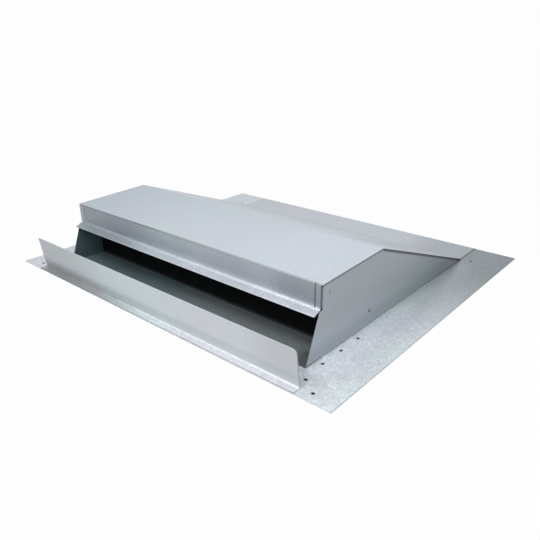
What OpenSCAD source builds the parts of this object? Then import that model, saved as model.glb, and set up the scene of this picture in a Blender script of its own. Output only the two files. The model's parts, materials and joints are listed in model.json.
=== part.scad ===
// Slope mounted roof vent of bent galvanised sheet: a flat flashing plate, a
// folded housing with two end walls, a bent hood cover, a wind baffle across
// the mouth and an insect screen inside it.
// Millimetres, +Z up. The origin is under the middle of the flashing plate.
// X runs along the hood and Y from the mouth up the slope of the roof.

/* [Sheet] */
// Thickness of the galvanised sheet
sheet_t = 0.6; // [0.4:0.05:1.2]
// Inside radius of the bends
bend_r = 1.2; // [0.6:0.1:2]
// Clearance between pieces that slide past each other
fit_gap = 0.3; // [0.1:0.05:0.5]

/* [Hood] */
// Length of the hood along the roof
hood_len = 610; // [400:5:900]
// Distance from the fascia back to the ridge of the hood
crown_d = 165; // [120:1:220]
// Distance from the ridge of the hood back to its toe
back_d = 331; // [240:1:420]
// Height of the hood above the roof at the fascia
front_h = 119; // [100:1:150]
// Rise of the crown from the fascia to the ridge
crown_rise = 5.5; // [0:0.5:12]
// Height of the fascia, from the lip fold to the crown
fascia_h = 39; // [25:1:50]
// Reach of the drip lip in front of the fascia
lip_d = 15.5; // [8:1:24]
// Drop of the drip lip over its reach
lip_drop = 5; // [2:0.2:10]
// Inside radius of the bend between the fascia and the drip lip
lip_bend_r = 5; // [1:0.5:8]
// Width of the hem folded under the edge of the drip lip
lip_hem_w = 7; // [4:0.5:10]
// Overhang of the cover past the faces of the end walls
cover_over = 1; // [0:0.5:3]

/* [Flashing plate] */
// Width of the flashing on either side of the hood
side_flange = 85; // [60:1:120]
// Width of the flashing above the toe of the hood
back_flange = 76; // [50:1:120]
// Distance from the front edge of the flashing to the fascia
fascia_setback = 93; // [85:1:130]

/* [Housing] */
// Distance from the front edge of the flashing to the end walls
wall_setback = 58.5; // [50:0.5:65]
// Width of the flanges that the end walls carry
wall_flange_w = 12; // [8:1:16]
// Gap cut between neighbouring flanges at a corner
relief = 2; // [1:0.5:4]

/* [Throat] */
// Length of the throat opening
throat_len = 540; // [300:5:560]
// Depth of the throat opening
throat_d = 230; // [150:5:300]
// Distance from the fascia back to the throat opening
throat_setback = 105; // [80:1:140]
// Height of the collar round the throat
collar_h = 22; // [10:1:30]

/* [Baffle] */
// Overhang of the baffle past each end wall
baffle_over = 23.5; // [10:0.5:40]
// Height of the baffle above the flashing
baffle_h = 64; // [40:1:70]
// Forward lean of the baffle over its height
baffle_lean = 8; // [0:0.5:12]
// Depth of the foot strip of the baffle
foot_d = 14.5; // [10:0.5:18]
// Distance from the front edge of the flashing to the foot strip
foot_setback = 1; // [0.5:0.5:4]
// Radius of the upper right corner of the baffle
baffle_right_r = 8; // [1:0.5:12]
// Radius of the upper left corner of the baffle
baffle_left_r = 1.5; // [1:0.5:12]

/* [Screen] */
// Distance from the fascia back to the insect screen
screen_setback = 40; // [20:1:60]
// Thickness of the insect screen
screen_t = 0.6; // [0.4:0.1:1]

/* [Nail holes] */
// Diameter of the nail holes
nail_d = 4; // [3:0.5:6]
// Distance from an end wall to its row of nail holes
nail_row_off = 11; // [8:0.5:30]
// Distance from an end wall to the first hole of the row, which stands out
first_nail_off = 16.5; // [8:0.5:30]
// Distance from the front edge of the flashing to the first hole of the row
nail_row_setback = 37.5; // [25:0.5:60]
// Pitch of the holes along the row
nail_pitch = 47; // [30:1:60]
// Distance from an end wall to the front corner hole
front_nail_off = 43; // [30:1:55]
// Distance from the front edge of the flashing to the front corner hole
front_nail_setback = 18.5; // [10:0.5:30]
// Distance from an end wall to the back hole
back_nail_off = 20; // [10:1:40]
// Distance from the toe of the hood back to the back hole
back_nail_past = 3; // [0:0.5:40]

/* [Hidden] */

// Holes in the row beside each end wall.
nail_row_n = 4;
// Facets of an arc of a bend, and of a round corner.
bend_steps = 4;
corner_steps = 8;
// Overrun of a cut past the face that it goes through.
over = sheet_t;

// Main places, measured from the front edge of the flashing.
ridge_y = fascia_setback + crown_d;
toe_y = ridge_y + back_d;
plate_d = toe_y + back_flange;
plate_len = hood_len + 2 * side_flange;
half_len = hood_len / 2;
ridge_h = front_h + crown_rise;
fold_z = front_h - fascia_h;
// Top face of the flashing, and of a sheet that lies on it.
deck_z = sheet_t;
pan_z = 2 * sheet_t;
// Depth that a bend takes off each of its two legs, from the outer corner.
bend_leg = bend_r + sheet_t;
// The fascia lies behind the front flanges of the end walls.
fascia_y = fascia_setback + sheet_t;

// Outer face of the hood from the fascia over the ridge to the toe.
crown_line = [
    [fascia_y, front_h],
    [ridge_y, ridge_h],
    [toe_y, pan_z]
];
// Outer face of the drip lip, from its edge back to the fold.
lip_line = [
    [fascia_y - lip_d, fold_z - lip_drop],
    [fascia_y, fold_z]
];

function unit(v) = v / norm(v);
// Normal to the left of a direction.
function left_of(d) = [-d.y, d.x];
function turned(v, a) = [v.x * cos(a) - v.y * sin(a), v.x * sin(a) + v.y * cos(a)];
function reversed(list) = [for (i = [len(list) - 1:-1:0]) list[i]];
// Height of the line through p and q at the place y.
function height_at(p, q, y) = p.y + (q.y - p.y) * (y - p.x) / (q.x - p.x);
// Line through p and q, moved to its right by d.
function moved_right(p, q, d) = [
    p - d * left_of(unit(q - p)),
    q - d * left_of(unit(q - p))
];
// Crossing of the line through a and b with the line through c and d.
function crossing(a, b, c, d) =
    let (u = b - a, v = d - c, w = c - a)
    a + u * (w.x * v.y - w.y * v.x) / (u.x * v.y - u.y * v.x);

// Arc of one face of a sheet that bends at p from direction u to direction v,
// with the inside radius r. The path is the left face of the sheet, and depth
// is 0 for that face and sheet_t for the right one.
function bend_arc(p, u, v, r, depth) =
    let (
        a = atan2(u.x * v.y - u.y * v.x, u * v),
        s = a > 0 ? 1 : -1,
        left_r = s > 0 ? r : r + sheet_t,
        face_r = left_r + s * depth,
        mid = unit(-s * (left_of(u) + left_of(v))),
        centre = p - mid * left_r / cos(a / 2)
    )
    [for (i = [0:bend_steps]) centre + face_r * turned(-s * left_of(u), a * i / bend_steps)];

// One face of a sheet bent along a path, with one radius for each bend.
function bent_face(path, radii, depth) =
    let (last = len(path) - 1)
    concat(
        [path[0] - depth * left_of(unit(path[1] - path[0]))],
        [for (i = [1:last - 1]) each bend_arc(
            path[i],
            unit(path[i] - path[i - 1]),
            unit(path[i + 1] - path[i]),
            radii[i - 1],
            depth
        )],
        [path[last] - depth * left_of(unit(path[last] - path[last - 1]))]
    );

// Section of a sheet whose left face follows the path, with its bends rounded.
module bent_section(path, radii = [for (i = [0:9]) bend_r]) {
    polygon(concat(
        bent_face(path, radii, 0),
        reversed(bent_face(path, radii, sheet_t))
    ));
}

// Sets y = 0 of the pieces at the front edge of the flashing.
module from_front_edge() {
    translate([0, -plate_d / 2, 0]) children();
}

// Extrudes a section, drawn in Y and Z, along X between -half and half.
module along_x(half) {
    translate([-half, 0, 0]) rotate([90, 0, 90]) linear_extrude(2 * half) children();
}

// Draws its children on both sides of the middle plane.
module both_ends() {
    children();
    mirror([1, 0, 0]) children();
}

// Block between two corners.
module block(low, high) {
    translate(low) cube(high - low);
}

// Throat opening, grown by a margin on every side.
module throat_cut(margin, low_z, high_z) {
    throat_y = fascia_setback + throat_setback;
    block(
        [-throat_len / 2 - margin, throat_y - margin, low_z],
        [throat_len / 2 + margin, throat_y + throat_d + margin, high_z]
    );
}

// Places of the nail holes beside one end wall.
nail_places = concat(
    [for (i = [1:nail_row_n - 1])
        [half_len + nail_row_off, nail_row_setback + i * nail_pitch]],
    [
        [half_len + first_nail_off, nail_row_setback],
        [half_len + front_nail_off, front_nail_setback],
        [half_len + back_nail_off, toe_y + back_nail_past]
    ]
);

// Flat sheet that the roofing laps, with the throat opening and nail holes.
module flashing_plate() {
    color("lightsteelblue") from_front_edge() difference() {
        block([-plate_len / 2, 0, 0], [plate_len / 2, plate_d, sheet_t]);
        throat_cut(0, -over, sheet_t + over);
        both_ends() for (place = nail_places) {
            translate([place.x, place.y, -over])
                cylinder(h = sheet_t + 2 * over, d = nail_d, $fn = 32);
        }
    }
}

// Inner face of the cover, which the flanges of the end walls lie against.
crown_seat = moved_right(crown_line[0], crown_line[1], sheet_t);
slope_seat = moved_right(crown_line[1], crown_line[2], sheet_t);
ridge_seat = crossing(crown_seat[0], crown_seat[1], slope_seat[0], slope_seat[1]);
front_seat = [fascia_setback, height_at(crown_seat[0], crown_seat[1], fascia_setback)];
toe_seat = crossing(slope_seat[0], slope_seat[1], [0, pan_z], [toe_y, pan_z]);
// Front end of the flange under the crown, clear of the bend of the cover.
crown_start_y = fascia_y + bend_leg + relief;
crown_start = [crown_start_y, height_at(crown_seat[0], crown_seat[1], crown_start_y)];

// Upper edge of the flat of an end wall, below the bend of its flanges.
crown_edge = moved_right(front_seat, ridge_seat, bend_leg);
slope_edge = moved_right(ridge_seat, toe_seat, bend_leg);
ridge_edge = crossing(crown_edge[0], crown_edge[1], slope_edge[0], slope_edge[1]);
toe_edge = crossing(slope_edge[0], slope_edge[1], [0, pan_z], [toe_y, pan_z]);

// The front edge of an end wall leans back and meets the lip at a third of it.
wall_front_foot = [wall_setback, deck_z];
wall_front_top_y = fascia_y - lip_d / 3;
wall_front_top = [wall_front_top_y, height_at(lip_line[0], lip_line[1], wall_front_top_y)];
// The front flange of an end wall stands on the bend of the drip lip.
lip_angle = atan2(lip_drop, lip_d);
flange_foot_z = fold_z + lip_bend_r * tan((90 - lip_angle) / 2) + fit_gap;
flat_front_y = fascia_setback + bend_leg;

// Outline of the flat of an end wall, in Y and Z.
module wall_outline() {
    polygon([
        wall_front_foot,
        wall_front_top,
        [flat_front_y, fold_z],
        [flat_front_y, height_at(crown_edge[0], crown_edge[1], flat_front_y)],
        ridge_edge,
        toe_edge,
        [toe_edge.x, deck_z]
    ]);
}

// Flange turned inwards from the end wall at +X, with its outer face between
// the points p and q of the side view.
module wall_flange(p, q) {
    run = q - p;
    section = [[0, -bend_leg - relief], [0, 0], [wall_flange_w, 0]];
    translate([half_len, p.x, p.y])
        rotate([atan2(run.y, run.x), 0, 0])
        rotate([90, 0, 180])
        linear_extrude(norm(run))
        bent_section(section);
}

// Pan that lies on the flashing, with the end walls turned up from its ends.
module pan_and_walls() {
    section = [
        [-half_len, ridge_h],
        [-half_len, deck_z],
        [half_len, deck_z],
        [half_len, ridge_h]
    ];
    intersection() {
        translate([0, toe_y, 0])
            rotate([90, 0, 0])
            linear_extrude(toe_y)
            bent_section(reversed(section));
        along_x(half_len + over) wall_outline();
    }
}

// Housing: pan, throat collar, end walls and the flanges under the cover.
module housing() {
    crown_dir = unit(ridge_seat - front_seat);
    slope_dir = unit(toe_seat - ridge_seat);
    color("silver") from_front_edge() difference() {
        union() {
            pan_and_walls();
            throat_cut(sheet_t, deck_z, pan_z + collar_h);
            both_ends() {
                wall_flange(crown_start, ridge_seat - relief * crown_dir);
                wall_flange(
                    ridge_seat + relief * slope_dir,
                    toe_seat - (wall_flange_w + relief) * slope_dir
                );
                wall_flange([fascia_setback, flange_foot_z], front_seat - [0, relief]);
            }
        }
        throat_cut(0, deck_z - over, pan_z + collar_h + over);
    }
}

// Bent cover: drip lip, fascia, crown, back slope and the flange above it.
// The lip and fascia fit between the end walls, and the rest laps over them.
module hood_cover() {
    tuck_x = half_len - bend_leg - fit_gap;
    side_x = half_len + cover_over;
    hem_r = fit_gap;
    lip_dir = unit(lip_line[1] - lip_line[0]);
    hem_foot = lip_line[0] - 2 * (hem_r + sheet_t) * left_of(lip_dir);
    path = [
        hem_foot + lip_hem_w * lip_dir,
        hem_foot,
        lip_line[0],
        lip_line[1],
        crown_line[0],
        crown_line[1],
        crown_line[2],
        [plate_d, pan_z]
    ];
    radii = [hem_r, hem_r, lip_bend_r, bend_r, bend_r, bend_r];
    color("gainsboro") from_front_edge() difference() {
        along_x(side_x) bent_section(path, radii);
        both_ends() block(
            [tuck_x, 0, 0],
            [side_x + over, fascia_y + bend_leg + over, front_seat.y]
        );
    }
}

// What is cut off the upper corner of a plate, at +X, to round it with radius r.
module corner_waste(end_x, top_z, r) {
    translate([end_x - r, 0, top_z - r])
        rotate([90, 0, 0])
        linear_extrude(2 * fascia_setback, center = true)
        difference() {
            square(2 * r);
            circle(r = r, $fn = 4 * corner_steps);
        }
}

// Wind baffle: foot strip on the flashing and the leaning plate in front of the mouth.
module wind_baffle() {
    foot_y = foot_setback + foot_d;
    end_x = half_len + baffle_over;
    top_z = deck_z + baffle_h;
    path = [
        [foot_setback, pan_z],
        [foot_y, pan_z],
        [foot_y - baffle_lean, top_z]
    ];
    color("lightgray") from_front_edge() difference() {
        along_x(end_x) bent_section(path);
        corner_waste(end_x, top_z, baffle_right_r);
        mirror([1, 0, 0]) corner_waste(end_x, top_z, baffle_left_r);
    }
}

// Insect screen: a flat panel across the mouth, notched round the wall flanges.
module insect_screen() {
    screen_y = fascia_setback + screen_setback;
    side_x = half_len - sheet_t - fit_gap;
    notch_x = half_len - wall_flange_w - fit_gap;
    top_z = height_at(front_seat, ridge_seat, screen_y) - fit_gap;
    notch_z = top_z - sheet_t - fit_gap;
    foot_x = half_len - bend_leg - fit_gap;
    color("dimgray") from_front_edge() translate([0, screen_y + screen_t, 0])
        rotate([90, 0, 0])
        linear_extrude(screen_t)
        polygon([
            [-foot_x, pan_z],
            [foot_x, pan_z],
            [side_x, pan_z + bend_leg],
            [side_x, notch_z - bend_leg],
            [notch_x, notch_z - bend_leg],
            [notch_x, top_z],
            [-notch_x, top_z],
            [-notch_x, notch_z - bend_leg],
            [-side_x, notch_z - bend_leg],
            [-side_x, pan_z + bend_leg]
        ]);
}

flashing_plate();
housing();
hood_cover();
wind_baffle();
insect_screen();
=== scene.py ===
"""Looks of a slope mounted roof vent of galvanised sheet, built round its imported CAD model.

Everything is in metres, in the frame of the CAD model: X runs along the hood, Y from the
mouth up the slope of the roof, and Z out of the roof.
"""

import json
import logging
import math
from dataclasses import dataclass, replace
from enum import Enum
from typing import Any, Sequence

import bmesh
import bpy
from mathutils import Matrix, Vector


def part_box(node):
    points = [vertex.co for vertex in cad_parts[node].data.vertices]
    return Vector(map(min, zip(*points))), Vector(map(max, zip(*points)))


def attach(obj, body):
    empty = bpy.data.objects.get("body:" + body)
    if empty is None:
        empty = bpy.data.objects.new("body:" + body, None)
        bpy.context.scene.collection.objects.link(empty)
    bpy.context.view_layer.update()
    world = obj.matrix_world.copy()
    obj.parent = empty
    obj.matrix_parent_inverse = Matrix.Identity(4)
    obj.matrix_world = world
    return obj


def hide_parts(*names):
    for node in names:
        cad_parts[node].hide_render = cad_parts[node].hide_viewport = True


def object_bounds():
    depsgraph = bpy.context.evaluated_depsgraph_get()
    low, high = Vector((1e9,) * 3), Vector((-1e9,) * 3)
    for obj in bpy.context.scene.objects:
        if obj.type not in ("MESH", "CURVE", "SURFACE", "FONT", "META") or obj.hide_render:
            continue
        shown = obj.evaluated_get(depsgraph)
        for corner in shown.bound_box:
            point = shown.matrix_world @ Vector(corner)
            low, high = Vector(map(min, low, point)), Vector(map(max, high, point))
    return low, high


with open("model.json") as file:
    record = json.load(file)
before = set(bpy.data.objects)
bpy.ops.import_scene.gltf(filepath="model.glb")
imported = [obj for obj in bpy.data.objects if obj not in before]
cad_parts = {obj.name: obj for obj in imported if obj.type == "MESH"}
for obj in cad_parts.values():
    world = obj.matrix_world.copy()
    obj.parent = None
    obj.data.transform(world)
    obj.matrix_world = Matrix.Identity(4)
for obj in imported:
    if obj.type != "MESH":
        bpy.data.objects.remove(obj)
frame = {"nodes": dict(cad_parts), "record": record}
CAD_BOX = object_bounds()

BODY = "root"
MM = 0.001

# Thickness of the sheets, and outer radius of their bends.
SHEET = 0.6 * MM
BEND = 1.8 * MM

# Width over which the edge of a sharp shade fades.
FADE = 0.3 * MM

# Place of the front edge of the flashing along Y.
FRONT_EDGE = CAD_BOX[0][1]

Colour = tuple[float, float, float]
Place = tuple[float, float, float]

PLAIN: Colour = (1.0, 1.0, 1.0)

log = logging.getLogger("roof_vent")


class Side(Enum):
    """The two ends of the vent."""

    LEFT = -1
    RIGHT = 1


class Value:
    """A shader socket that takes part in Python sums; each operator adds a Math node."""

    def __init__(self, graph: "Graph", socket: Any) -> None:
        """Wraps a socket.

        Args:
            graph: The graph that the socket belongs to.
            socket: The output socket of a node in it.
        """
        self.graph = graph
        self.socket = socket

    def _math(self, operation: str, *terms: Any, clamp: bool = False) -> "Value":
        """Adds one Math node.

        Args:
            operation: The operation of the node.
            terms: Numbers or values, in the order of the node's inputs.
            clamp: Whether the result is kept between 0 and 1.

        Returns:
            The result.
        """
        settings = {"operation": operation, "use_clamp": clamp}
        return self.graph.node("ShaderNodeMath", settings, dict(enumerate(terms))).out("Value")

    def __add__(self, other: Any) -> "Value":
        """This value plus another."""
        return self._math("ADD", self, other)

    __radd__ = __add__

    def __sub__(self, other: Any) -> "Value":
        """This value less another."""
        return self._math("SUBTRACT", self, other)

    def __rsub__(self, other: Any) -> "Value":
        """Another value less this one."""
        return self._math("SUBTRACT", other, self)

    def __mul__(self, other: Any) -> "Value":
        """This value times another."""
        return self._math("MULTIPLY", self, other)

    __rmul__ = __mul__

    def __truediv__(self, other: Any) -> "Value":
        """This value divided by another."""
        return self._math("DIVIDE", self, other)

    def __pow__(self, other: Any) -> "Value":
        """This value to a power."""
        return self._math("POWER", self, other)

    def __abs__(self) -> "Value":
        """The size of this value without its sign."""
        return self._math("ABSOLUTE", self)

    def clamped(self) -> "Value":
        """This value kept between 0 and 1."""
        return self._math("ADD", self, 0.0, clamp=True)

    def most(self, other: Any) -> "Value":
        """The greater of this value and another."""
        return self._math("MAXIMUM", self, other)

    def above(self, other: Any) -> "Value":
        """1 where this value is greater than another, and else 0."""
        return self._math("GREATER_THAN", self, other)

    def step(self, low: float, high: float) -> "Value":
        """A smooth step.

        Args:
            low: Where the step starts, at 0.
            high: Where it ends, at 1; less than low for a falling step.

        Returns:
            The step, between 0 and 1.
        """
        rising = high > low
        ends = {
            "Value": self,
            "From Min": min(low, high),
            "From Max": max(low, high),
            "To Min": 0.0 if rising else 1.0,
            "To Max": 1.0 if rising else 0.0,
        }
        settings = {"interpolation_type": "SMOOTHSTEP", "clamp": True}
        return self.graph.node("ShaderNodeMapRange", settings, ends).out("Result")


class Node:
    """A node of a graph, whose sockets are found by name, identifier or index."""

    def __init__(self, graph: "Graph", node: Any) -> None:
        """Wraps a node of the graph."""
        self.graph = graph
        self.node = node

    def put(self, key: str | int, given: Any) -> None:
        """Sets or links an input.

        Args:
            key: Name, identifier or index of the input.
            given: A number, tuple, material or object, or a Value to link.
        """
        sockets = self.node.inputs
        if isinstance(key, int):
            socket = sockets[key]
        else:
            socket = next(s for s in sockets if key in (s.identifier, s.name))
        if isinstance(given, Value):
            self.graph.tree.links.new(given.socket, socket)
        else:
            socket.default_value = given

    def out(self, key: str | int = 0) -> Value:
        """An output.

        Args:
            key: Name, identifier or index of the output.

        Returns:
            The output, as a Value.
        """
        sockets = self.node.outputs
        if isinstance(key, int):
            return Value(self.graph, sockets[key])
        return Value(self.graph, next(s for s in sockets if key in (s.identifier, s.name)))


class Graph:
    """A node tree that is being built: a material's, the world's or a modifier's."""

    def __init__(self, tree: Any) -> None:
        """Empties the tree and starts with it."""
        self.tree = tree
        tree.nodes.clear()

    def node(
        self,
        kind: str,
        settings: dict[str, Any] | None = None,
        values: dict[str | int, Any] | None = None,
    ) -> Node:
        """Adds a node.

        Args:
            kind: Type of the node.
            settings: Its properties, which are set first.
            values: Values or links of its inputs.

        Returns:
            The node.
        """
        made = self.tree.nodes.new(kind)
        for name, setting in (settings or {}).items():
            setattr(made, name, setting)
        wrapped = Node(self, made)
        for key, given in (values or {}).items():
            wrapped.put(key, given)
        return wrapped

    def mix(self, factor: Any, first: Any, second: Any) -> Value:
        """Mixes two colours.

        Args:
            factor: 0 for the first colour, 1 for the second.
            first: A colour tuple or value.
            second: A colour tuple or value.

        Returns:
            The mixed colour.
        """
        ends = [c if isinstance(c, Value) else (*c, 1.0) for c in (first, second)]
        values = {"Factor_Float": factor, "A_Color": ends[0], "B_Color": ends[1]}
        return self.node("ShaderNodeMix", {"data_type": "RGBA"}, values).out("Result_Color")

    def vector(self, operation: str, *terms: Any) -> Value:
        """Adds a Vector Math node.

        Args:
            operation: The operation of the node.
            terms: Vectors, or a number for the scale of SCALE, in the node's order.

        Returns:
            The vector that results.
        """
        keys = (0, "Scale") if operation == "SCALE" else (0, 1)
        values = dict(zip(keys, terms))
        return self.node("ShaderNodeVectorMath", {"operation": operation}, values).out("Vector")

    def noise(self, where: Value, size: float, detail: float = 2.0, rough: float = 0.5) -> Node:
        """Adds a noise texture.

        Args:
            where: Coordinates, in metres.
            size: Size of the largest blotches, in metres.
            detail: Number of finer octaves.
            rough: Share of the finer octaves.

        Returns:
            The node, with outputs Fac and Color.
        """
        values = {"Vector": where, "Scale": 1.0 / size, "Detail": detail, "Roughness": rough}
        return self.node("ShaderNodeTexNoise", {}, values)


    def place(self) -> Value:
        """The place of the point, in the coordinates of its object."""
        return self.node("ShaderNodeTexCoord").out("Object")

    def axes(self, vector: Value) -> list[Value]:
        """The three numbers of a vector."""
        split = self.node("ShaderNodeSeparateXYZ", {}, {0: vector})
        return [split.out(axis) for axis in "XYZ"]

    def bump(self, height: Value, **inputs: Value) -> Value:
        """The normal of a surface whose relief has the given height, in metres."""
        given = {"Strength": 1.0, "Distance": 1.0, "Height": height, **inputs}
        return self.node("ShaderNodeBump", {}, given).out("Normal")

    def seen(self) -> Value:
        """Tells rays of the camera, of reflections and through glass from rays of light.

        Returns:
            1 for the rays that see, and 0 for those that light.
        """
        path = self.node("ShaderNodeLightPath")
        beyond = path.out("Is Glossy Ray").most(path.out("Is Transmission Ray"))
        return path.out("Is Camera Ray").most(beyond)


@dataclass(frozen=True)
class Tone:
    """How a place on a sheet differs from the rest of it.

    Attributes:
        share: How much light the painted shade takes away there; less than 0 for painted light.
        fade: Widths along X, Y and Z over which it fades, outside the place.
        tint: What the colour is multiplied by there.
    """

    share: float
    fade: Place = (FADE, FADE, FADE)
    tint: Colour = PLAIN


@dataclass(frozen=True)
class Shade:
    """A box of painted shade, painted light, a tint or bolder crystals on a sheet, as along a cut edge or
    inside the hood.

    Attributes:
        low: Lowest corner.
        high: Highest corner.
        tone: Its tone.
        rise: Slope of the box along Y, by which it follows a sloping edge from its low corner.
        mirrored: Whether it is on both sides of the middle plane.
        firm: Whether its low side along X is sharp, as at a wall.
    """

    low: Sequence[float]
    high: Sequence[float]
    tone: Tone
    rise: float = 0.0
    mirrored: bool = True
    firm: bool = False

    def mask(self, axes: Sequence[Value]) -> Value:
        """Where the box is.

        Args:
            axes: The three coordinates of the point.

        Returns:
            0 outside, and 1 inside.
        """
        x, y, z = axes
        placed = (abs(x) if self.mirrored else x, y, z - (y - self.low[1]) * self.rise)
        after = self.tone.fade
        before = (FADE, *after[1:]) if self.firm else after
        mask = None
        for axis, low, high, first, last in zip(placed, self.low, self.high, before, after):
            band = axis.step(low - first, low) * axis.step(high + last, high)
            mask = band if mask is None else mask * band
        return mask

    def over(self, graph: Graph, axes: Sequence[Value], colour: Value) -> Value:
        """Lays the shade over a colour.

        Args:
            graph: The material's graph.
            axes: The three coordinates of the point.
            colour: The colour without the shade.

        Returns:
            The colour with it.
        """
        mask = self.mask(axes)
        if self.tone.tint != PLAIN:
            colour = graph.mix(mask, colour, graph.vector("MULTIPLY", colour, self.tone.tint))
        return graph.vector("SCALE", colour, 1.0 - mask * self.tone.share)


def one_side(low: Sequence[float], high: Sequence[float], tone: Tone, firm: bool = False) -> Shade:
    """A shade that isn't repeated on the other side of the middle plane."""
    return Shade(low, high, tone, mirrored=False, firm=firm)


class Spangle(Enum):
    """How boldly the zinc crystals of a sheet show: their contrast, and the lean of their faces."""

    FAINT = (0.035, 0.02)
    BOLD = (0.2, 0.035)

    @property
    def contrast(self) -> float:
        """Share by which the crystals differ in brightness."""
        return self.value[0]

    @property
    def lean(self) -> float:
        """How far the faces of the crystals lean from the sheet."""
        return self.value[1]


class Finish:
    """A finish, whose class says what feeds its shader."""

    name: str

    def surface(self, graph: Graph) -> dict[str | int, Any]:
        """What feeds the sockets of the finish's Principled shader."""
        raise NotImplementedError

    def shader(self, graph: Graph) -> Value:
        """The shader of the finish."""
        return graph.node("ShaderNodeBsdfPrincipled", {}, self.surface(graph)).out("BSDF")

    def material(self) -> bpy.types.Material:
        """Builds the finish.

        Returns:
            The material.
        """
        made = bpy.data.materials.new(self.name)
        made.use_nodes = True
        graph = Graph(made.node_tree)
        graph.node("ShaderNodeOutputMaterial", {}, {"Surface": self.shader(graph)})
        return made


@dataclass(frozen=True)
class Galvanised(Finish):
    """Finish of a galvanised sheet: zinc crystals, duller patches, slow waves, and painted shade and light in
    places.

    Attributes:
        name: Name of the material.
        light: Brightness of the zinc.
        spangle: How boldly its crystals show.
        shades: Places of painted shade, painted light or a tint.
        bolder: Places where the crystals show more, with a share below 0.
        green: Tint of the greener patches.
        violet: Tint of the other patches.
        crystal: Size of a crystal.
        swirl: Size of the swirls that bend the crystals, and their reach, in crystals.
        streak: Size of the streaks in a crystal, in crystals.
        stretch: Scale of the coordinates along the streaks.
        weights: Weights of the faces, streaks and ridges in the brightness of the crystals.
        mean: What is taken off the sum of these.
        streak_relief: Height of the streaks, as a share of the grooves' depth.
        relief_depth: Depth of the grooves where the contrast is 1.
        tint_band: Part of the noise over which one tint turns to the other.
        wave: Height of the slow waves in the sheet.
        metallic: Share of the surface that reflects as metal.
    """

    name: str
    light: float
    spangle: Spangle
    shades: tuple[Shade, ...] = ()
    bolder: tuple[Shade, ...] = ()
    green: Colour = (0.89, 1.005, 1.04)
    violet: Colour = (0.93, 0.985, 1.055)
    crystal: float = 6 * MM
    swirl: tuple[float, float] = (0.8, 1.6)
    streak: float = 0.5
    stretch: float = 0.35
    weights: Place = (0.5, 0.9, 0.8)
    mean: float = 0.4
    groove: float = 0.22
    streak_relief: float = 0.3
    relief_depth: float = 0.5 * MM
    patch_size: float = 90 * MM
    patch_contrast: float = 0.08
    tint_size: float = 126 * MM
    tint_band: tuple[float, float] = (0.35, 0.65)
    wave: float = 1.2 * MM
    wave_size: float = 170 * MM
    metallic: float = 0.42
    roughness: float = 0.42
    rough_spread: float = 0.12

    def _crystals(self, graph: Graph, where: Value) -> tuple[Value, Value, Value]:
        """Grows the crystals, each with streaks in a direction of its own.

        Args:
            graph: The material's graph.
            where: Coordinates of the point.

        Returns:
            A random vector for each crystal, the streaks, and the ridges between crystals,
            both from 0 to 1.
        """
        size, reach = (self.crystal * share for share in self.swirl)
        swirl = graph.noise(where, size).out("Color")
        bent = graph.vector("ADD", where, graph.vector("SCALE", swirl, reach))
        cells = {"Vector": bent, "Scale": 1 / self.crystal}
        seed = graph.node("ShaderNodeTexVoronoi", {"feature": "F1"}, cells).out("Color")
        rim = graph.node("ShaderNodeTexVoronoi", {"feature": "DISTANCE_TO_EDGE"}, cells).out("Distance")
        turned = graph.node(
            "ShaderNodeVectorRotate",
            {"rotation_type": "EULER_XYZ"},
            {"Vector": where, "Rotation": graph.vector("SCALE", seed, 2 * math.pi)},
        ).out("Vector")
        drawn = graph.vector("MULTIPLY", turned, (self.stretch, 1.0, 1.0))
        streaks = graph.noise(drawn, self.crystal * self.streak, detail=3.0, rough=0.6).out("Fac")
        return seed, streaks.step(0.25, 0.75), rim.step(self.groove, 0.0)

    def surface(self, graph: Graph) -> dict[str | int, Any]:
        """What feeds the shader.

        Args:
            graph: The material's graph.

        Returns:
            The values of its sockets.
        """
        where = graph.place()
        axes = graph.axes(where)
        seed, streaks, ridges = self._crystals(graph, where)
        face = graph.axes(seed)[0]
        patch = graph.noise(where, self.patch_size, detail=3.0, rough=0.55).out("Fac")

        contrast = self.spangle.contrast
        for zone in self.bolder:
            contrast = (1.0 - zone.mask(axes) * zone.tone.share) * contrast
        faces, lines, rims = self.weights
        bright = 1.0 + (face * faces + streaks * lines - ridges * rims - self.mean) * contrast
        bright = bright + (patch - 0.5) * self.patch_contrast
        tints = [tuple(c * self.light for c in tint) for tint in (self.green, self.violet)]
        blend = graph.noise(where, self.tint_size, detail=1.0).out("Fac").step(*self.tint_band)
        colour = graph.vector("SCALE", graph.mix(blend, *tints), bright)
        for shade in self.shades:
            colour = shade.over(graph, axes, colour)
        rough = self.roughness + (face + patch - 1.0) * self.rough_spread

        normal = graph.node("ShaderNodeNewGeometry").out("Normal")
        lean = graph.vector("SCALE", graph.vector("SUBTRACT", seed, (0.5,) * 3), self.spangle.lean)
        leaning = graph.vector("NORMALIZE", graph.vector("ADD", normal, lean))
        waves = graph.noise(where, self.wave_size, detail=1.0).out("Fac")
        relief = (streaks * self.streak_relief - ridges) * contrast * self.relief_depth
        return {
            "Base Color": colour,
            "Metallic": self.metallic,
            "Roughness": rough.clamped(),
            "Normal": graph.bump(waves * self.wave + relief, Normal=leaning),
        }


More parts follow.
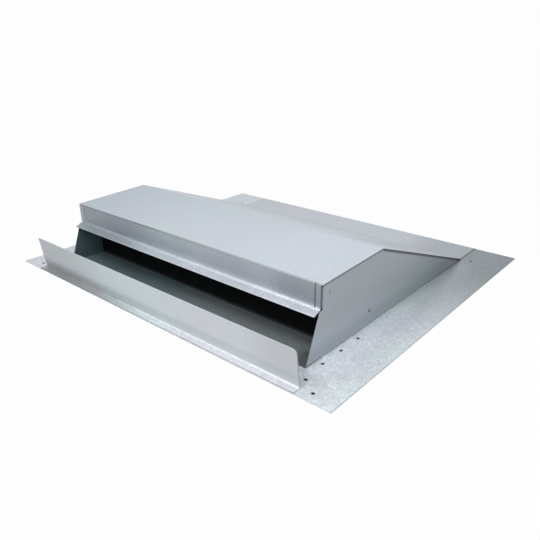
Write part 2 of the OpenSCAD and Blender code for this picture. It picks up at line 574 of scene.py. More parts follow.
@dataclass(frozen=True)
class MatBlack(Finish):
    """Finish of the black wires of the insect mesh, with dust on them, and painted light that makes them
    lighter towards the foot.
    """

    name: str
    colour: Colour = (0.003, 0.0035, 0.004)
    dust: Colour = (0.05, 0.055, 0.058)
    dust_size: float = 25 * MM
    dust_share: float = 0.3
    dust_roughness: float = 0.2
    # Painted light: colour of the wires at the foot of the mesh.
    foot: Colour = (0.13, 0.145, 0.155)
    foot_height: float = 12 * MM
    roughness: float = 0.6
    specular: float = 0.15

    def surface(self, graph: Graph) -> dict[str | int, Any]:
        """What feeds the shader.

        Args:
            graph: The material's graph.

        Returns:
            The values of its sockets.
        """
        where = graph.place()
        dusty = graph.noise(where, self.dust_size, detail=4.0, rough=0.6).out("Fac").step(0.5, 0.8)
        wires = graph.mix(dusty * self.dust_share, self.colour, self.dust)
        # Painted light: the wires turn lighter towards the foot.
        low = graph.axes(where)[2].step(self.foot_height, 0.0) ** 2.0
        return {
            "Base Color": graph.mix(low, wires, self.foot),
            "Roughness": self.roughness + dusty * self.dust_roughness,
            "Specular IOR Level": self.specular,
        }


@dataclass(frozen=True)
class ScaledSteel(Finish):
    """Finish of bare steel with a thin scale, as round a spot weld or a punched hole."""

    name: str
    colour: Colour = (0.30, 0.32, 0.34)
    scale: Colour = (0.16, 0.165, 0.17)
    flake_size: float = 1.5 * MM
    flake_height: float = 0.05 * MM
    metallic: float = 0.5
    roughness: float = 0.45
    rough_spread: float = 0.3

    def surface(self, graph: Graph) -> dict[str | int, Any]:
        """What feeds the shader.

        Args:
            graph: The material's graph.

        Returns:
            The values of its sockets.
        """
        flakes = graph.noise(graph.place(), self.flake_size, detail=3.0, rough=0.6).out("Fac")
        return {
            "Base Color": graph.mix(flakes.step(0.4, 0.6), self.colour, self.scale),
            "Metallic": self.metallic,
            "Roughness": self.roughness + (flakes - 0.5) * self.rough_spread,
            "Normal": graph.bump(flakes * self.flake_height),
        }


@dataclass(frozen=True)
class HoodSizes:
    """Places of the hood that several sheets share, in metres.

    Attributes:
        fascia_y: Distance from the front edge of the flashing to the outside of the fascia.
        fold_z: Height of the fold between the fascia and the drip lip.
        crown_z: Height of the fold between the fascia and the crown.
        ridge: Distance and height of the fold between the crown and the back slope.
        toe: Distance and height of the fold between the back slope and the rear flange.
        flange_x: Inner edge of the flanges that the end walls turn in front of the fascia.
        lap_width: Width of the painted shadow along a lap.
        skin: Depth below the outside of a wall at which the painted shade of its inside starts.
    """

    fascia_y: float = 93.6 * MM
    fold_z: float = 80 * MM
    crown_z: float = 119 * MM
    ridge: tuple[float, float] = (258 * MM, 124.5 * MM)
    toe: tuple[float, float] = (589 * MM, 1.2 * MM)
    flange_x: float = 293 * MM
    lap_width: float = 2.4 * MM
    skin: float = 0.8 * SHEET

    @property
    def roof_line(self) -> tuple[tuple[float, float], ...]:
        """Distance and height of the ends and the fold of the roof of the hood."""
        return (self.fascia_y, self.crown_z), self.ridge, self.toe

    def lap_line(self, tone: Tone) -> Shade:
        """The painted shadow where the front flanges of the end walls lap over the fascia.

        Args:
            tone: Its tone.

        Returns:
            The line, at the right end of the hood, where the lap stands open.
        """
        face_y, half = FRONT_EDGE + self.fascia_y, self.lap_width / 2
        low = (self.flange_x - half, face_y - 2 * SHEET, self.fold_z)
        return one_side(low, (self.flange_x + half, face_y + BEND, self.crown_z), tone)


HOOD = HoodSizes()


def dress(node: str, finish: Galvanised) -> None:
    """Gives a CAD node its finish.

    Args:
        node: Name of the node.
        finish: The finish.
    """
    mesh = frame["nodes"][node].data
    mesh.materials.clear()
    mesh.materials.append(finish.material())
    log.info("%s: dressed with %s", node, finish.name)


class Recipe:
    """A Geometry Nodes tree with named inputs, whose result becomes a plain mesh."""

    def __init__(self, name: str, inputs: dict[str, float]) -> None:
        """Starts the tree.

        Args:
            name: Name of the tree.
            inputs: Names of its number inputs, and what they hold.
        """
        self.name = name
        self.tree = bpy.data.node_groups.new(name, "GeometryNodeTree")
        self.graph = Graph(self.tree)
        self.given: dict[str, Any] = {}
        face = self.tree.interface
        face.new_socket("Places", in_out="INPUT", socket_type="NodeSocketGeometry")
        for key, number in inputs.items():
            kind = "NodeSocketInt" if isinstance(number, int) else "NodeSocketFloat"
            socket = face.new_socket(key, in_out="INPUT", socket_type=kind)
            self.given[socket.identifier] = number
        face.new_socket("Shape", in_out="OUTPUT", socket_type="NodeSocketGeometry")
        self.inputs = self.graph.node("NodeGroupInput")

    def value(self, name: str) -> Value:
        """The named input of the tree."""
        return self.inputs.out(name)

    def vector(self, x: Any = 0.0, y: Any = 0.0, z: Any = 0.0) -> Value:
        """A vector put together from three numbers or values."""
        return self.graph.node("ShaderNodeCombineXYZ", {}, {"X": x, "Y": y, "Z": z}).out("Vector")

    def shape(self, kind: str, values: dict[str, Any], out: str = "Geometry", **settings: Any) -> Value:
        """Adds a node that makes or changes a shape.

        Args:
            kind: Type of the node, without its first words.
            values: Values or links of its inputs.
            out: Name of the output.
            settings: Its properties.

        Returns:
            The output.
        """
        return self.graph.node("GeometryNode" + kind, settings, values).out(out)

    def finish(
        self, shape: Value, places: bpy.types.Mesh, material: bpy.types.Material
    ) -> bpy.types.Object:
        """Ends the tree, runs it and keeps its result as a plain mesh.

        Args:
            shape: Geometry with the instances.
            places: Mesh that the tree starts from.
            material: Material of the result.

        Returns:
            The object, with no modifier left on it.
        """
        real = self.shape("RealizeInstances", {"Geometry": shape})
        dressed = self.shape("SetMaterial", {"Geometry": real, "Material": material})
        self.graph.node("NodeGroupOutput", {}, {"Shape": dressed})
        holder = bpy.data.objects.new(self.name + "_places", places)
        bpy.context.scene.collection.objects.link(holder)
        modifier = holder.modifiers.new(self.name, "NODES")
        modifier.node_group = self.tree
        for identifier, number in self.given.items():
            modifier[identifier] = number
        seen = holder.evaluated_get(bpy.context.evaluated_depsgraph_get())
        mesh = bpy.data.meshes.new_from_object(seen)
        mesh.name = self.name
        holder.modifiers.remove(modifier)
        bpy.data.objects.remove(holder)
        made = bpy.data.objects.new(self.name, mesh)
        bpy.context.scene.collection.objects.link(made)
        return made


def points_mesh(name: str, places: Sequence[Place], sizes: Sequence[float] = ()) -> bpy.types.Mesh:
    """A mesh of loose points.

    Args:
        name: Name of the mesh.
        places: The points.
        sizes: A size for each point, kept as its attribute "size"; all 1 if there are none.

    Returns:
        The mesh.
    """
    mesh = bpy.data.meshes.new(name)
    mesh.from_pydata([tuple(p) for p in places], [], [])
    attribute = mesh.attributes.new("size", "FLOAT", "POINT")
    attribute.data.foreach_set("value", list(sizes) or [1.0] * len(places))
    return mesh


@dataclass
class Rings:
    """Low rings of one size, set on a sheet by Geometry Nodes.

    Attributes:
        name: Name of the piece.
        radius: Mean radius of a ring.
        width: Width of its section.
        height: Height that it stands above the sheet.
        tilt: Turn about Y that lays a ring on its sheet.
        finish: Its finish.
    """

    name: str
    radius: float
    width: float
    height: float
    tilt: float
    finish: ScaledSteel
    steps: int = 24
    section_steps: int = 8

    def build(self, places: Sequence[Place], scales: Sequence[float] = ()) -> None:
        """Makes a ring at each place and joins them to one piece.

        Args:
            places: The centres, on the face of the sheet.
            scales: What each ring's size is multiplied by; 1 if there are none.
        """
        sizes = {
            "Radius": self.radius,
            "Half Width": self.width / 2,
            "Height": self.height,
            "Tilt": self.tilt,
            "Steps": self.steps,
            "Section Steps": self.section_steps,
        }
        recipe = Recipe(self.name, sizes)
        loops = [
            {"Resolution": recipe.value(steps), "Radius": recipe.value(radius)}
            for steps, radius in (("Steps", "Radius"), ("Section Steps", "Half Width"))
        ]
        path, section = (recipe.shape("CurvePrimitiveCircle", loop, "Curve", mode="RADIUS") for loop in loops)
        tube = recipe.shape("CurveToMesh", {"Curve": path, "Profile Curve": section}, "Mesh")
        flat = recipe.vector(1.0, 1.0, recipe.value("Height") / recipe.value("Half Width"))
        set_out = {
            "Points": recipe.inputs.out("Places"),
            "Instance": recipe.shape("Transform", {"Geometry": tube, "Scale": flat}),
            "Rotation": recipe.vector(0.0, recipe.value("Tilt"), 0.0),
            "Scale": recipe.shape("InputNamedAttribute", {"Name": "size"}, "Attribute", data_type="FLOAT"),
        }
        rings = recipe.shape("InstanceOnPoints", set_out, "Instances")
        spots = points_mesh(self.name + "_places", places, scales)
        made = recipe.finish(rings, spots, self.finish.material())
        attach(made, BODY)
        log.info("%s: %d rings", self.name, len(places))


@dataclass
class Flashing:
    """The flat sheet under the hood, with the burrs of its punched nail holes.

    Attributes:
        rear_y: Where the painted shade of its rear is full.
        beside_ys: Front and back of the painted light beside the end walls.
        outer_y: Front of the painted shade along the right side edge.
    """

    zinc: Galvanised = Galvanised("flashing_zinc", 0.8, Spangle.BOLD)
    edge: float = 0.8 * MM
    edge_tone: Tone = Tone(0.45)
    front_tone: Tone = Tone(0.15)
    rear_y: float = 250 * MM
    # Painted shade: the sheet darkens and turns bluer towards its rear.
    rear_painted_shade: Tone = Tone(0.61, (0.1, 0.45, MM), (0.97, 1.0, 1.04))
    # Painted light beside the end walls.
    beside_ys: tuple[float, float] = (-220 * MM, 200 * MM)
    beside_width: float = 10 * MM
    beside_painted_light: Tone = Tone(-0.2, (35 * MM, 0.08, MM))
    # Painted shade along the right side edge.
    outer_y: float = -200 * MM
    outer_width: float = 15 * MM
    outer_painted_shade: Tone = Tone(0.07, (40 * MM, 0.1, MM))
    # Painted shade over the left flange, in front and at the rear.
    left_front_painted_shade: Tone = Tone(0.14, (MM, 0.1, MM))
    left_rear_painted_shade: Tone = Tone(0.12, (MM, 0.1, MM))
    burr_width: float = 0.9 * MM
    burr_height: float = 0.2 * MM
    # Dark scaled steel, darkened further as painted shade of the nail holes.
    burr_finish_and_painted_shade: ScaledSteel = ScaledSteel("burr_steel", (0.08, 0.085, 0.09), (0.03, 0.032, 0.035))

    def finish(self) -> Galvanised:
        """The finish, with darker cut edges, and painted shade and painted light over the sheet."""
        low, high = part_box("flashing_plate")
        wall_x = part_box("housing")[1].x
        start, end = self.beside_ys
        beside = one_side((0.0, start, low.z), (wall_x + self.beside_width, end, high.z), self.beside_painted_light)
        shades = (
            Shade((high.x - self.edge, low.y, low.z), high, self.edge_tone),
            one_side(low, (high.x, low.y + self.edge, high.z), self.front_tone),
            one_side((low.x, high.y - self.edge, low.z), high, self.edge_tone),
            one_side((0.0, self.rear_y, low.z), high, self.rear_painted_shade),
            beside,
            one_side((high.x - self.outer_width, self.outer_y, low.z), high, self.outer_painted_shade),
            one_side(low, (-wall_x, 0.0, high.z), self.left_front_painted_shade),
            one_side((low.x, end, low.z), (0.0, high.y, high.z), self.left_rear_painted_shade),
        )
        return replace(self.zinc, shades=shades)

    def nail_holes(self) -> list[tuple[Place, float]]:
        """Centres of the nail holes on the upper face, and their radii, from the bolt patterns."""
        holes = []
        for mount in frame["record"]["mounts"]:
            if mount["kind"] != "bolt_pattern":
                continue
            x, y, z = mount["pos_m"]
            dims = mount["dims"]
            half_x, half_y = (dims.get(f"spacing_{axis}_mm", 0.0) * MM / 2 for axis in "xy")
            rows = (-half_y, half_y) if half_y else (0.0,)
            radius = dims["hole_r_mm"] * MM
            for side in Side:
                holes += [((x + side.value * half_x, y + row, z), radius) for row in rows]
        return holes

    def build(self) -> None:
        """Dresses the sheet and rings its nail holes with burrs."""
        dress("flashing_plate", self.finish())
        holes = self.nail_holes()
        radius = holes[0][1] + self.burr_width / 2
        burrs = Rings("nail_hole_burrs", radius, self.burr_width, self.burr_height, 0.0, self.burr_finish_and_painted_shade)
        burrs.build([place for place, _ in holes])


@dataclass
class Housing:
    """The folded sheet with the pan and end walls, and the spot welds of the walls.

    Attributes:
        mouth: Painted shade on the inside of the end walls.
        within_painted_shade: Painted shade, near black, on everything behind the mesh.
        sill_painted_shade: Painted shade on the pan just before the mesh.
        left_inside_painted_shade: Painted shade with a green tint on the inside near the left wall.
        gap_painted_shade: Painted shade on the front of the pan near the right wall.
        seam_widths: Widths of the painted shadows in the seams at the crown and at the back slope.
        weld_places: Distance and height of the spot welds of a wall, from the middle of the vent.
    """

    zinc: Galvanised = Galvanised(
        "housing_zinc", 0.485, Spangle.FAINT, green=(0.872, 1.02, 1.065), violet=(0.918, 0.99, 1.068)
    )
    mouth: Tone = Tone(0.45)
    # Painted shade over the pan.
    pan: Tone = Tone(0.24)
    within_painted_shade: Tone = Tone(0.92)
    sill_painted_shade: Tone = Tone(0.26, (MM, 30 * MM, MM))
    sill_depth: float = 6 * MM
    left_inside_painted_shade: Tone = Tone(0.25, (0.25, MM, MM), (0.76, 1.0, 1.03))
    left_inside_shade_end: float = -160 * MM
    gap_painted_shade: Tone = Tone(0.52, (0.02, 12 * MM, MM))
    gap_start: float = 285 * MM
    gap_depth: float = 34 * MM
    grain: Tone = Tone(-2.5)
    # Painted shadow in the seams and laps under the cover, and painted dark reflection at the front corner
    # bend.
    seam_painted_shadow: Tone = Tone(0.62)
    seam_widths: tuple[float, float] = (2.0 * MM, 4.2 * MM)
    # Painted shade: the walls darken towards their rear end.
    toe: Tone = Tone(0.12, (MM, 0.25, MM))
    toe_y: float = 250 * MM
    # Painted shade: the walls darken towards their foot.
    foot: Tone = Tone(0.2, (MM, MM, 25 * MM))
    foot_height: float = 12 * MM
    weld_places: tuple[tuple[float, float], ...] = ((-0.2201, 0.1013), (-0.1061, 0.0262))
    weld_scales: tuple[float, ...] = (0.55, 1.15)
    weld_radius: float = 1.7 * MM
    weld_width: float = 2.8 * MM
    weld_height: float = 0.12 * MM
    weld_finish: ScaledSteel = ScaledSteel("weld_steel", (0.20, 0.21, 0.22), (0.12, 0.125, 0.13))

    def _seams(self, inner: float, outer: float) -> list[Shade]:
        """The seams along the top edges of the walls.

        Args:
            inner: Where they start along X.
            outer: Where they end.

        Returns:
            One for the crown and one for the back slope.
        """
        seams = []
        for (y, z), (end_y, end_z), width in zip(HOOD.roof_line, HOOD.roof_line[1:], self.seam_widths):
            low = (inner, y + FRONT_EDGE, z - SHEET - width)
            high = (outer, end_y + FRONT_EDGE, z - SHEET / 2)
            seams.append(Shade(low, high, self.seam_painted_shadow, rise=(end_z - z) / (high[1] - low[1])))
        return seams

    def finish(self) -> Galvanised:
        """The finish, with painted shade inside the hood and painted shadow in the seams under the cover."""
        low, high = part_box("housing")
        wall_in, wall_out = high.x - HOOD.skin, high.x + SHEET
        face_y, lip_z = FRONT_EDGE + HOOD.fascia_y, HOOD.fold_z
        pan_z = low.z + SHEET / 2
        screen_y, floor_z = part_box("insect_screen")[0].y, pan_z + BEND
        pan_end = (wall_in, screen_y, floor_z)
        corner = (high.x - BEND - SHEET, face_y - SHEET, lip_z)
        shades = (
            Shade((wall_in - BEND, low.y, floor_z), (wall_in, high.y, lip_z), self.mouth),
            Shade((0.0, low.y, pan_z), pan_end, self.pan),
            Shade((0.0, screen_y + MM, pan_z), (wall_in, high.y, HOOD.ridge[1]), self.within_painted_shade),
            Shade((0.0, screen_y - self.sill_depth, pan_z), pan_end, self.sill_painted_shade),
            one_side((-wall_in, low.y, pan_z), (self.left_inside_shade_end, screen_y, lip_z), self.left_inside_painted_shade, firm=True),
            one_side((self.gap_start, low.y, pan_z), (wall_in, low.y + self.gap_depth, floor_z), self.gap_painted_shade),
            # Painted dark reflection along the front corner bend of the right wall.
            one_side(corner, (wall_out, face_y + BEND, high.z), self.seam_painted_shadow),
            HOOD.lap_line(self.seam_painted_shadow),
            Shade((wall_in, self.toe_y, low.z), (wall_out, high.y, high.z), self.toe),
            Shade((wall_in, low.y, low.z), (wall_out, high.y, self.foot_height), self.foot),
            *self._seams(wall_in - BEND, wall_out),
        )
        grain = Shade((0.0, low.y, pan_z), (wall_in, screen_y, lip_z), self.grain)
        return replace(self.zinc, shades=shades, bolder=(grain,))

    def build(self) -> None:
        """Dresses the sheet and marks the spot welds on both walls."""
        dress("housing", self.finish())
        wall_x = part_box("housing")[1].x
        places = [(side.value * wall_x, y, z) for side in Side for y, z in self.weld_places]
        sizes = (self.weld_radius, self.weld_width, self.weld_height)
        welds = Rings("spot_welds", *sizes, math.pi / 2, self.weld_finish)
        welds.build(places, self.weld_scales * len(Side))


@dataclass
class Cover:
    """The bent sheet over the hood.

    Attributes:
        seam_painted_shadow: Painted shadow in the lap at the front flange.
        fascia_rise: Height above the fold at which the painted shade of the fascia's ends starts.
        fold: Painted light on the fold over the lip, and brow: painted shade on the fold under the crown.
        left: Painted shade with a cool tint on the left end of the crown, and right: painted light on its
            right end.
        side: Painted shadow on the side edges, and rim: painted highlight on the rims beside them.
        toe: Painted shade on the right end of the back slope.
        corner_start: Inner side, depth and height above the crown of its bolder front corners.
    """

    zinc: Galvanised = Galvanised(
        "cover_zinc", 0.548, Spangle.FAINT, green=(0.872, 0.985, 1.065), violet=(0.912, 0.965, 1.08)
    )
    seam_painted_shadow: Tone = Tone(0.65)
    # Painted highlight along the edge of the lip.
    edge: Tone = Tone(-0.18)
    edge_width: float = 1.2 * MM
    # Painted shade over the left ends of the lip and the fascia, and over the right end of the fascia.
    left_lip_painted_shade: Tone = Tone(0.32, (0.12, MM, 4 * MM))
    left_lip_end: float = -180 * MM
    lip: Tone = Tone(0.02, (MM, MM, 3 * MM), (1.0, 0.99, 0.97))
    left_fascia_painted_shade: Tone = Tone(0.32, (0.2, MM, 4 * MM))
    left_fascia_end: float = -200 * MM
    right_fascia_painted_shade: Tone = Tone(0.19, (0.08, MM, 3 * MM))
    right_fascia_start: float = 260 * MM
    fascia_rise: float = 6 * MM
    # Painted light over the fascia and just above its fold.
    face: Tone = Tone(-0.06, (MM, MM, MM))
    fold: Tone = Tone(-0.14, (0.2, MM, 9 * MM))
    fold_start: float = 20 * MM
    fold_depth: float = 3 * MM
    fold_rise: float = 4 * MM
    # Painted shade along the front edge of the crown, stronger at the left.
    brow_painted_shade: Tone = Tone(0.35, (0.25, 0.5 * MM, MM))
    brow_width: float = 3 * MM
    left_brow_painted_shade: Tone = Tone(0.35, (0.1, FADE, MM))
    left_brow_end: float = -100 * MM
    # Painted shade on the left end of the crown, and painted light on its right end.
    left: Tone = Tone(0.1, (0.3, MM, MM), (0.985, 1.03, 1.05))
    left_end: float = -250 * MM
    right: Tone = Tone(-0.07, (0.2, MM, MM))
    right_start: float = 240 * MM
    slope: Tone = Tone(0.0, (MM, 6 * MM, MM), (0.936, 0.977, 0.995))
    # Painted shadow along the side edges, a painted highlight beside it, and painted light on the back
    # flange.
    side: Tone = Tone(0.6)
    side_width: float = 1.8 * MM
    flange_edge: float = 3.4 * MM
    rim: Tone = Tone(-0.07)
    rim_width: float = 2.5 * MM
    flange: Tone = Tone(-0.15, tint=(0.96, 0.939, 0.922))
    # Painted shade on the right end of the back slope.
    toe: Tone = Tone(0.22, (0.1, 0.12, MM))
    toe_start: float = 240 * MM
    toe_run: float = 120 * MM
    lip_grain: Tone = Tone(-2.4, (MM, MM, 16 * MM))
    grain_rise: float = 2 * MM
    corner_grain: Tone = Tone(-1.5, (0.06, 0.06, 0.06))
    corner_start: Place = (220 * MM, 70 * MM, 10 * MM)

    def finish(self) -> Galvanised:
        """The finish, with painted shadow in the seams beside the front flanges, a painted highlight on the
        edge of the lip, and painted shade and light over the sheet.
        """
        low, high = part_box("hood_cover")
        half, fold_z, crown_z = high.x, HOOD.fold_z, HOOD.crown_z
        face_y, ridge_y, toe_y = (FRONT_EDGE + y for y in (HOOD.fascia_y, HOOD.ridge[0], HOOD.toe[0]))
        back_y, front_y = face_y - SHEET, face_y + BEND
        dull_z, top_z, over_z = fold_z + self.fascia_rise, crown_z - BEND, crown_z + BEND
        left_x, side_x, flange_x = low.x, half - self.side_width, half - self.flange_edge
        lip_low, fold_y = (0.0, low.y, low.z), face_y - self.fold_depth
        corner_x, corner_y, corner_z = self.corner_start
        shades = (
            HOOD.lap_line(self.seam_painted_shadow),
            Shade(low, (half, low.y + self.edge_width, fold_z), self.edge),
            one_side(low, (self.left_lip_end, face_y, fold_z), self.left_lip_painted_shade),
            Shade(lip_low, (half, face_y, fold_z), self.lip),
            one_side((left_x, back_y, dull_z), (self.left_fascia_end, face_y, top_z), self.left_fascia_painted_shade),
            one_side((self.right_fascia_start, back_y, dull_z), (half, face_y, top_z), self.right_fascia_painted_shade),
            Shade((0.0, back_y, fold_z), (half, face_y, top_z), self.face),
            one_side((self.fold_start, fold_y, fold_z), (half, face_y, fold_z + self.fold_rise), self.fold),
            one_side((0.0, face_y, top_z), (half, face_y + self.brow_width, over_z), self.brow_painted_shade),
            one_side((left_x, back_y, top_z), (self.left_brow_end, front_y, over_z), self.left_brow_painted_shade),
            one_side(low, (self.left_end, ridge_y, high.z), self.left),
            one_side((self.right_start, face_y, top_z), (half, ridge_y, high.z), self.right),
            Shade((0.0, ridge_y, BEND), high, self.slope),
            Shade((side_x, front_y, BEND), high, self.side),
            Shade((side_x - self.rim_width, front_y, BEND), (side_x, high.y, high.z), self.rim),
            Shade((0.0, toe_y, low.z), (half, high.y, BEND), self.flange),
            # Painted shadow at the right end of the back flange.
            one_side((flange_x, toe_y, low.z), (half, high.y, BEND), self.side),
            one_side((self.toe_start, ridge_y + self.toe_run, low.z), (half, high.y, crown_z), self.toe),
        )
        corner = (half, face_y + corner_y, crown_z + corner_z)
        bolder = (
            Shade(lip_low, (half, face_y, fold_z + self.grain_rise), self.lip_grain),
            Shade((corner_x, face_y, top_z), corner, self.corner_grain),
        )
        return replace(self.zinc, shades=shades, bolder=bolder)

    def build(self) -> None:
        """Dresses the sheet."""
        dress("hood_cover", self.finish())


@dataclass
class Baffle:
    """The bent sheet in front of the mouth.

    Attributes:
        left_end_painted_shade: Painted shade on its left end, up to left_shade_part of the way there from the
            middle.
        far: Painted shade on its right end.
        cool: Tone of its middle.
        strip: Painted shade with a warm tint on its foot strip, with painted light over its right part and
            painted shade over its left end.
    """

    zinc: Galvanised = Galvanised(
        "baffle_zinc", 0.735, Spangle.FAINT, green=(0.895, 0.985, 1.025), violet=(0.92, 0.972, 1.035)
    )
    left_end_painted_shade: Tone = Tone(0.22, (0.21, MM, MM))
    left_shade_part: float = 0.8
    far: Tone = Tone(0.12, (0.09, MM, 3 * MM))
    far_start: float = 300 * MM
    far_rise: float = 4 * MM
    # Painted shade: darker towards the foot.
    foot: Tone = Tone(0.17, (MM, MM, 12 * MM))
    foot_height: float = 14 * MM
    cool: Tone = Tone(0.0, (0.09, MM, MM), (0.95, 1.0, 1.0))
    cool_ends: tuple[float, float] = (-100 * MM, 30 * MM)
    strip: Tone = Tone(0.14, (MM, MM, MM), (1.0, 0.965, 0.94))
    # Painted light over the right part of the foot strip, and painted shade over its left end.
    strip_painted_light: Tone = Tone(-0.68, (0.2, MM, MM))
    bright_start: float = 50 * MM
    left_strip_painted_shade: Tone = Tone(0.08, (0.1, MM, MM))
    left_strip_shade_end: float = -250 * MM
    # Painted shadow along the front edge of the foot strip and at the right end.
    edge: Tone = Tone(0.45)
    edge_width: float = 1.0 * MM
    strip_grain: Tone = Tone(-3.0, (MM, MM, 2 * MM))

    def finish(self) -> Galvanised:
        """The finish, with painted shade towards the left end, and painted shade and light elsewhere."""
        low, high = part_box("wind_baffle")
        foot_z = low.z + BEND
        strip_low, strip_high = (0.0, low.y, low.z), (high.x, high.y, foot_z)
        cool_start, cool_end = self.cool_ends
        shades = (
            one_side(low, (low.x * self.left_shade_part, high.y, high.z), self.left_end_painted_shade),
            one_side((self.far_start, low.y, foot_z + self.far_rise), high, self.far),
            Shade((0.0, low.y, foot_z), (high.x, high.y, self.foot_height), self.foot),
            one_side((cool_start, low.y, foot_z), (cool_end, high.y, high.z), self.cool),
            Shade(strip_low, strip_high, self.strip),
            one_side((self.bright_start, low.y, low.z), strip_high, self.strip_painted_light),
            one_side(low, (self.left_strip_shade_end, high.y, foot_z), self.left_strip_painted_shade),
            Shade(strip_low, (high.x, low.y + self.edge_width, foot_z), self.edge),
            one_side((high.x - self.edge_width, low.y, low.z), high, self.edge),
        )
        grain = Shade(strip_low, strip_high, self.strip_grain)
        return replace(self.zinc, shades=shades, bolder=(grain,))

    def build(self) -> None:
        """Dresses the sheet."""
        dress("wind_baffle", self.finish())


@dataclass
class InsectMesh:
    """The black wire mesh across the mouth, in the place of its plain panel."""

    pitch: float = 1.8 * MM
    wire: float = 0.25 * MM
    notch_width: float = 12 * MM
    notch_depth: float = 3 * MM
    side_gap: float = 1.2 * MM
    sides: int = 5

    def build(self) -> None:
        """Weaves the mesh from straight wires and lets it stand for the panel."""
        low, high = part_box("insect_screen")
        half = high.x - self.wire - self.side_gap
        tall = high.z - low.z - 2 * self.wire
        recipe = Recipe(
            "insect_mesh",
            {
                "Half Width": half,
                "Notch Half Width": half - self.notch_width,
                "Height": tall,
                "Side Height": tall - self.notch_depth,
                "Pitch": self.pitch,
                "Wire Radius": self.wire,
                "Sides": self.sides,
            },
        )
        graph = recipe.graph
        wire, wide, height = (recipe.value(name) for name in ("Wire Radius", "Half Width", "Height"))
        narrow, short, pitch = (recipe.value(name) for name in ("Notch Half Width", "Side Height", "Pitch"))
        at_x, _, at_z = graph.axes(graph.node("GeometryNodeInputPosition").out())
        rod = {"Vertices": recipe.value("Sides"), "Radius": wire, "Depth": 1.0}
        unit = recipe.shape("MeshCylinder", rod, "Mesh", fill_type="NGON")

        line = {
            "Count": wide * 2.0 / pitch + 1.0,
            "Start Location": recipe.vector(wide * -1.0),
            "Offset": recipe.vector(pitch),
        }
        length = height - abs(at_x).above(narrow) * (height - short)
        columns = {
            "Points": recipe.shape("MeshLine", line, "Mesh", mode="OFFSET"),
            "Instance": recipe.shape("Transform", {"Geometry": unit, "Translation": (0.0, 0.0, 0.5)}),
            "Scale": recipe.vector(1.0, 1.0, length),
        }
        warp = recipe.shape("InstanceOnPoints", columns, "Instances")

        line = {"Count": height / pitch + 1.0, "Offset": recipe.vector(0.0, 0.0, pitch)}
        length = wide * 2.0 - at_z.above(short) * (wide - narrow) * 2.0
        rows = {
            "Points": recipe.shape("MeshLine", line, "Mesh", mode="OFFSET"),
            "Instance": recipe.shape("Transform", {"Geometry": unit, "Rotation": (0.0, math.pi / 2, 0.0)}),
            "Scale": recipe.vector(length, 1.0, 1.0),
        }
        weft = recipe.shape("InstanceOnPoints", rows, "Instances")
        behind = {"Geometry": weft, "Translation": recipe.vector(0.0, wire, 0.0)}
        joined = graph.node("GeometryNodeJoinGeometry")
        joined.put("Geometry", warp)
        joined.put("Geometry", recipe.shape("Transform", behind))
        made = recipe.finish(
            joined.out("Geometry"),
            points_mesh("insect_mesh_places", [(0.0, 0.0, 0.0)]),
            MatBlack("insect_mesh_black").material(),
        )
        made.data.transform(Matrix.Translation((0.0, low.y + self.wire, low.z + self.wire)))
        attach(made, BODY)
        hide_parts("insect_screen")
        log.info("insect_mesh: %d faces", len(made.data.polygons))


@dataclass(frozen=True)
class StudioWhite(Finish):
    """Finish of the sweep: white to the eye and in reflections, and plain grey paint to light.

    Attributes:
        name: Name of the material.
        paint: Brightness of the paint, which bounces light and takes the shadow.
        white: Share of plain white that the eye and reflections see over the paint.
        dark: Colour of the floor under the vent, a painted shade where it gets no light.
        shade: Half width, front and back of that part.
    """

    name: str = "studio_white"
    paint: float = 0.5
    white: float = 0.98
    dark: Colour = (0.01, 0.01, 0.01)
    shade: Place = (0.389, -0.3315, 0.3315)

    def shader(self, graph: Graph) -> Value:
        """The shader of the finish.

        Args:
            graph: The material's graph.

        Returns:
            Paint for the light, and white for the rays that see.
        """
        x, y, _ = graph.axes(graph.place())
        half, front, back = self.shade
        # Painted shade: the floor under the vent is near black and doesn't glow.
        under = abs(x).step(half, half - MM) * y.step(front, front + MM) * y.step(back, back - MM)
        colour = graph.mix(under, (self.paint,) * 3, self.dark)
        paint = graph.node("ShaderNodeBsdfDiffuse", {}, {"Color": colour}).out("BSDF")
        glow = graph.node("ShaderNodeEmission", {}, {"Strength": 1.0}).out("Emission")
        factor = graph.seen() * (1.0 - under) * self.white
        return graph.node("ShaderNodeMixShader", {}, {0: factor, 1: paint, 2: glow}).out("Shader")


@dataclass(frozen=True)
class Softbox:
    """A square lamp that faces the middle of the floor.

    Attributes:
        name: Name of the lamp.
        place: Where it hangs.
        size: Length of its side.
        power: Its power, in watts.
    """

    name: str
    place: Place
    size: float
    power: float

    def build(self) -> None:
        """Hangs the lamp."""
        light = bpy.data.lights.new(self.name, "AREA")
        light.shape = "SQUARE"
        light.size = self.size
        light.energy = self.power
        made = bpy.data.objects.new(self.name, light)
        facing = Vector() - Vector(self.place)
        made.rotation_euler = facing.to_track_quat("-Z", "Y").to_euler()
        made.location = self.place
        made.visible_camera = False
        bpy.context.scene.collection.objects.link(made)


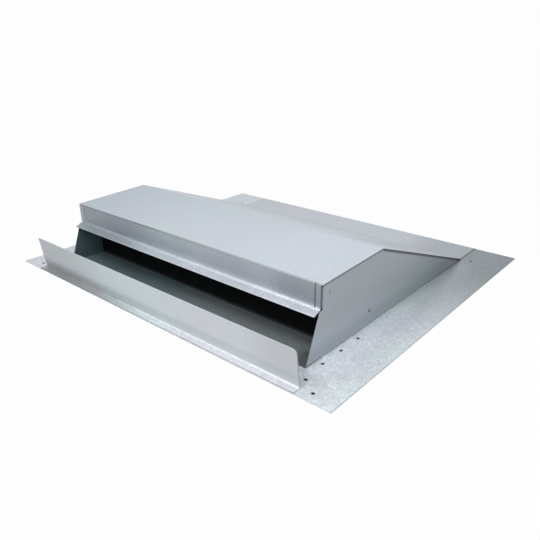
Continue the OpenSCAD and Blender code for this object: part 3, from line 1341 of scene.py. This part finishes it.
@dataclass
class Studio:
    """Floor with its sweep, lamps, world and camera."""

    floor_radius: float = 5.0
    sweep_radius: float = 0.5
    wall_height: float = 0.9
    spokes: int = 96
    arc_steps: int = 8
    world_light: float = 0.05
    world_white: float = 0.98
    lamps: tuple[Softbox, ...] = (
        Softbox("key", (0.446, -0.446, 1.07), 1.8, 15.6),
        Softbox("back", (-1.075, 1.236, 1.147), 1.6, 1.8),
        Softbox("front", (0.0, -0.919, 0.919), 0.8, 5.2),
    )
    camera_place: Place = (0.7084, -0.8143, 0.4484)
    yaw: float = 40.96
    pitch: float = -23.60
    roll: float = -0.469
    lens: float = 37.235
    sensor: float = 36.0

    def sweep(self) -> None:
        """Turns the floor, the curve at its rim and the low wall beyond as one surface."""
        arc = [i / self.arc_steps * math.pi / 2 for i in range(self.arc_steps + 1)]
        rim, bend = self.floor_radius, self.sweep_radius
        profile = [(rim + bend * math.sin(a), bend * (1 - math.cos(a))) for a in arc]
        profile.append((rim + bend, self.wall_height))
        mesh = bpy.data.meshes.new("sweep")
        made = bpy.data.objects.new("sweep", mesh)
        bpy.context.scene.collection.objects.link(made)
        shell = bmesh.new()
        turns = [2 * math.pi * i / self.spokes for i in range(self.spokes)]
        rings = []
        for r, z in profile:
            rings.append([shell.verts.new((r * math.cos(t), r * math.sin(t), z)) for t in turns])
        shell.faces.new(rings[0])
        for low, high in zip(rings, rings[1:]):
            for i in range(self.spokes):
                shell.faces.new((low[i - 1], low[i], high[i], high[i - 1]))
        shell.to_mesh(mesh)
        shell.free()
        mesh.materials.append(StudioWhite().material())

    def world(self) -> None:
        """Sets the plain world round the studio."""
        made = bpy.data.worlds.new("studio")
        bpy.context.scene.world = made
        made.use_nodes = True
        graph = Graph(made.node_tree)
        strength = self.world_light + graph.seen() * (self.world_white - self.world_light)
        values = {"Color": (1.0, 1.0, 1.0, 1.0), "Strength": strength}
        sky = graph.node("ShaderNodeBackground", {}, values).out("Background")
        graph.node("ShaderNodeOutputWorld", {}, {"Surface": sky})

    def camera(self) -> None:
        """Sets the camera where the photograph was taken from."""
        yaw, pitch, roll = (math.radians(a) for a in (self.yaw, self.pitch, self.roll))
        forward = Vector(
            (-math.sin(yaw) * math.cos(pitch), math.cos(yaw) * math.cos(pitch), math.sin(pitch))
        )
        level = Vector((math.cos(yaw), math.sin(yaw), 0.0))
        upright = level.cross(forward)
        right = level * math.cos(roll) + upright * math.sin(roll)
        up = upright * math.cos(roll) - level * math.sin(roll)
        data = bpy.data.cameras.new("camera")
        data.sensor_width = self.sensor
        data.lens = self.lens
        made = bpy.data.objects.new("camera", data)
        axes = Matrix((right, up, -forward)).transposed().to_4x4()
        made.matrix_world = Matrix.Translation(self.camera_place) @ axes
        bpy.context.scene.collection.objects.link(made)
        bpy.context.scene.camera = made

    def build(self) -> None:
        """Builds the studio."""
        bpy.context.scene.view_settings.view_transform = "Standard"
        self.camera()
        self.sweep()
        self.world()
        for lamp in self.lamps:
            lamp.build()
        log.info("studio: built")


def main() -> None:
    """Builds the studio and dresses each sub-assembly in turn."""
    logging.basicConfig(level=logging.INFO, format="%(name)s: %(message)s")
    Studio().build()
    for part in (Flashing(), Housing(), Cover(), Baffle(), InsectMesh()):
        part.build()


if __name__ == "__main__":
    main()
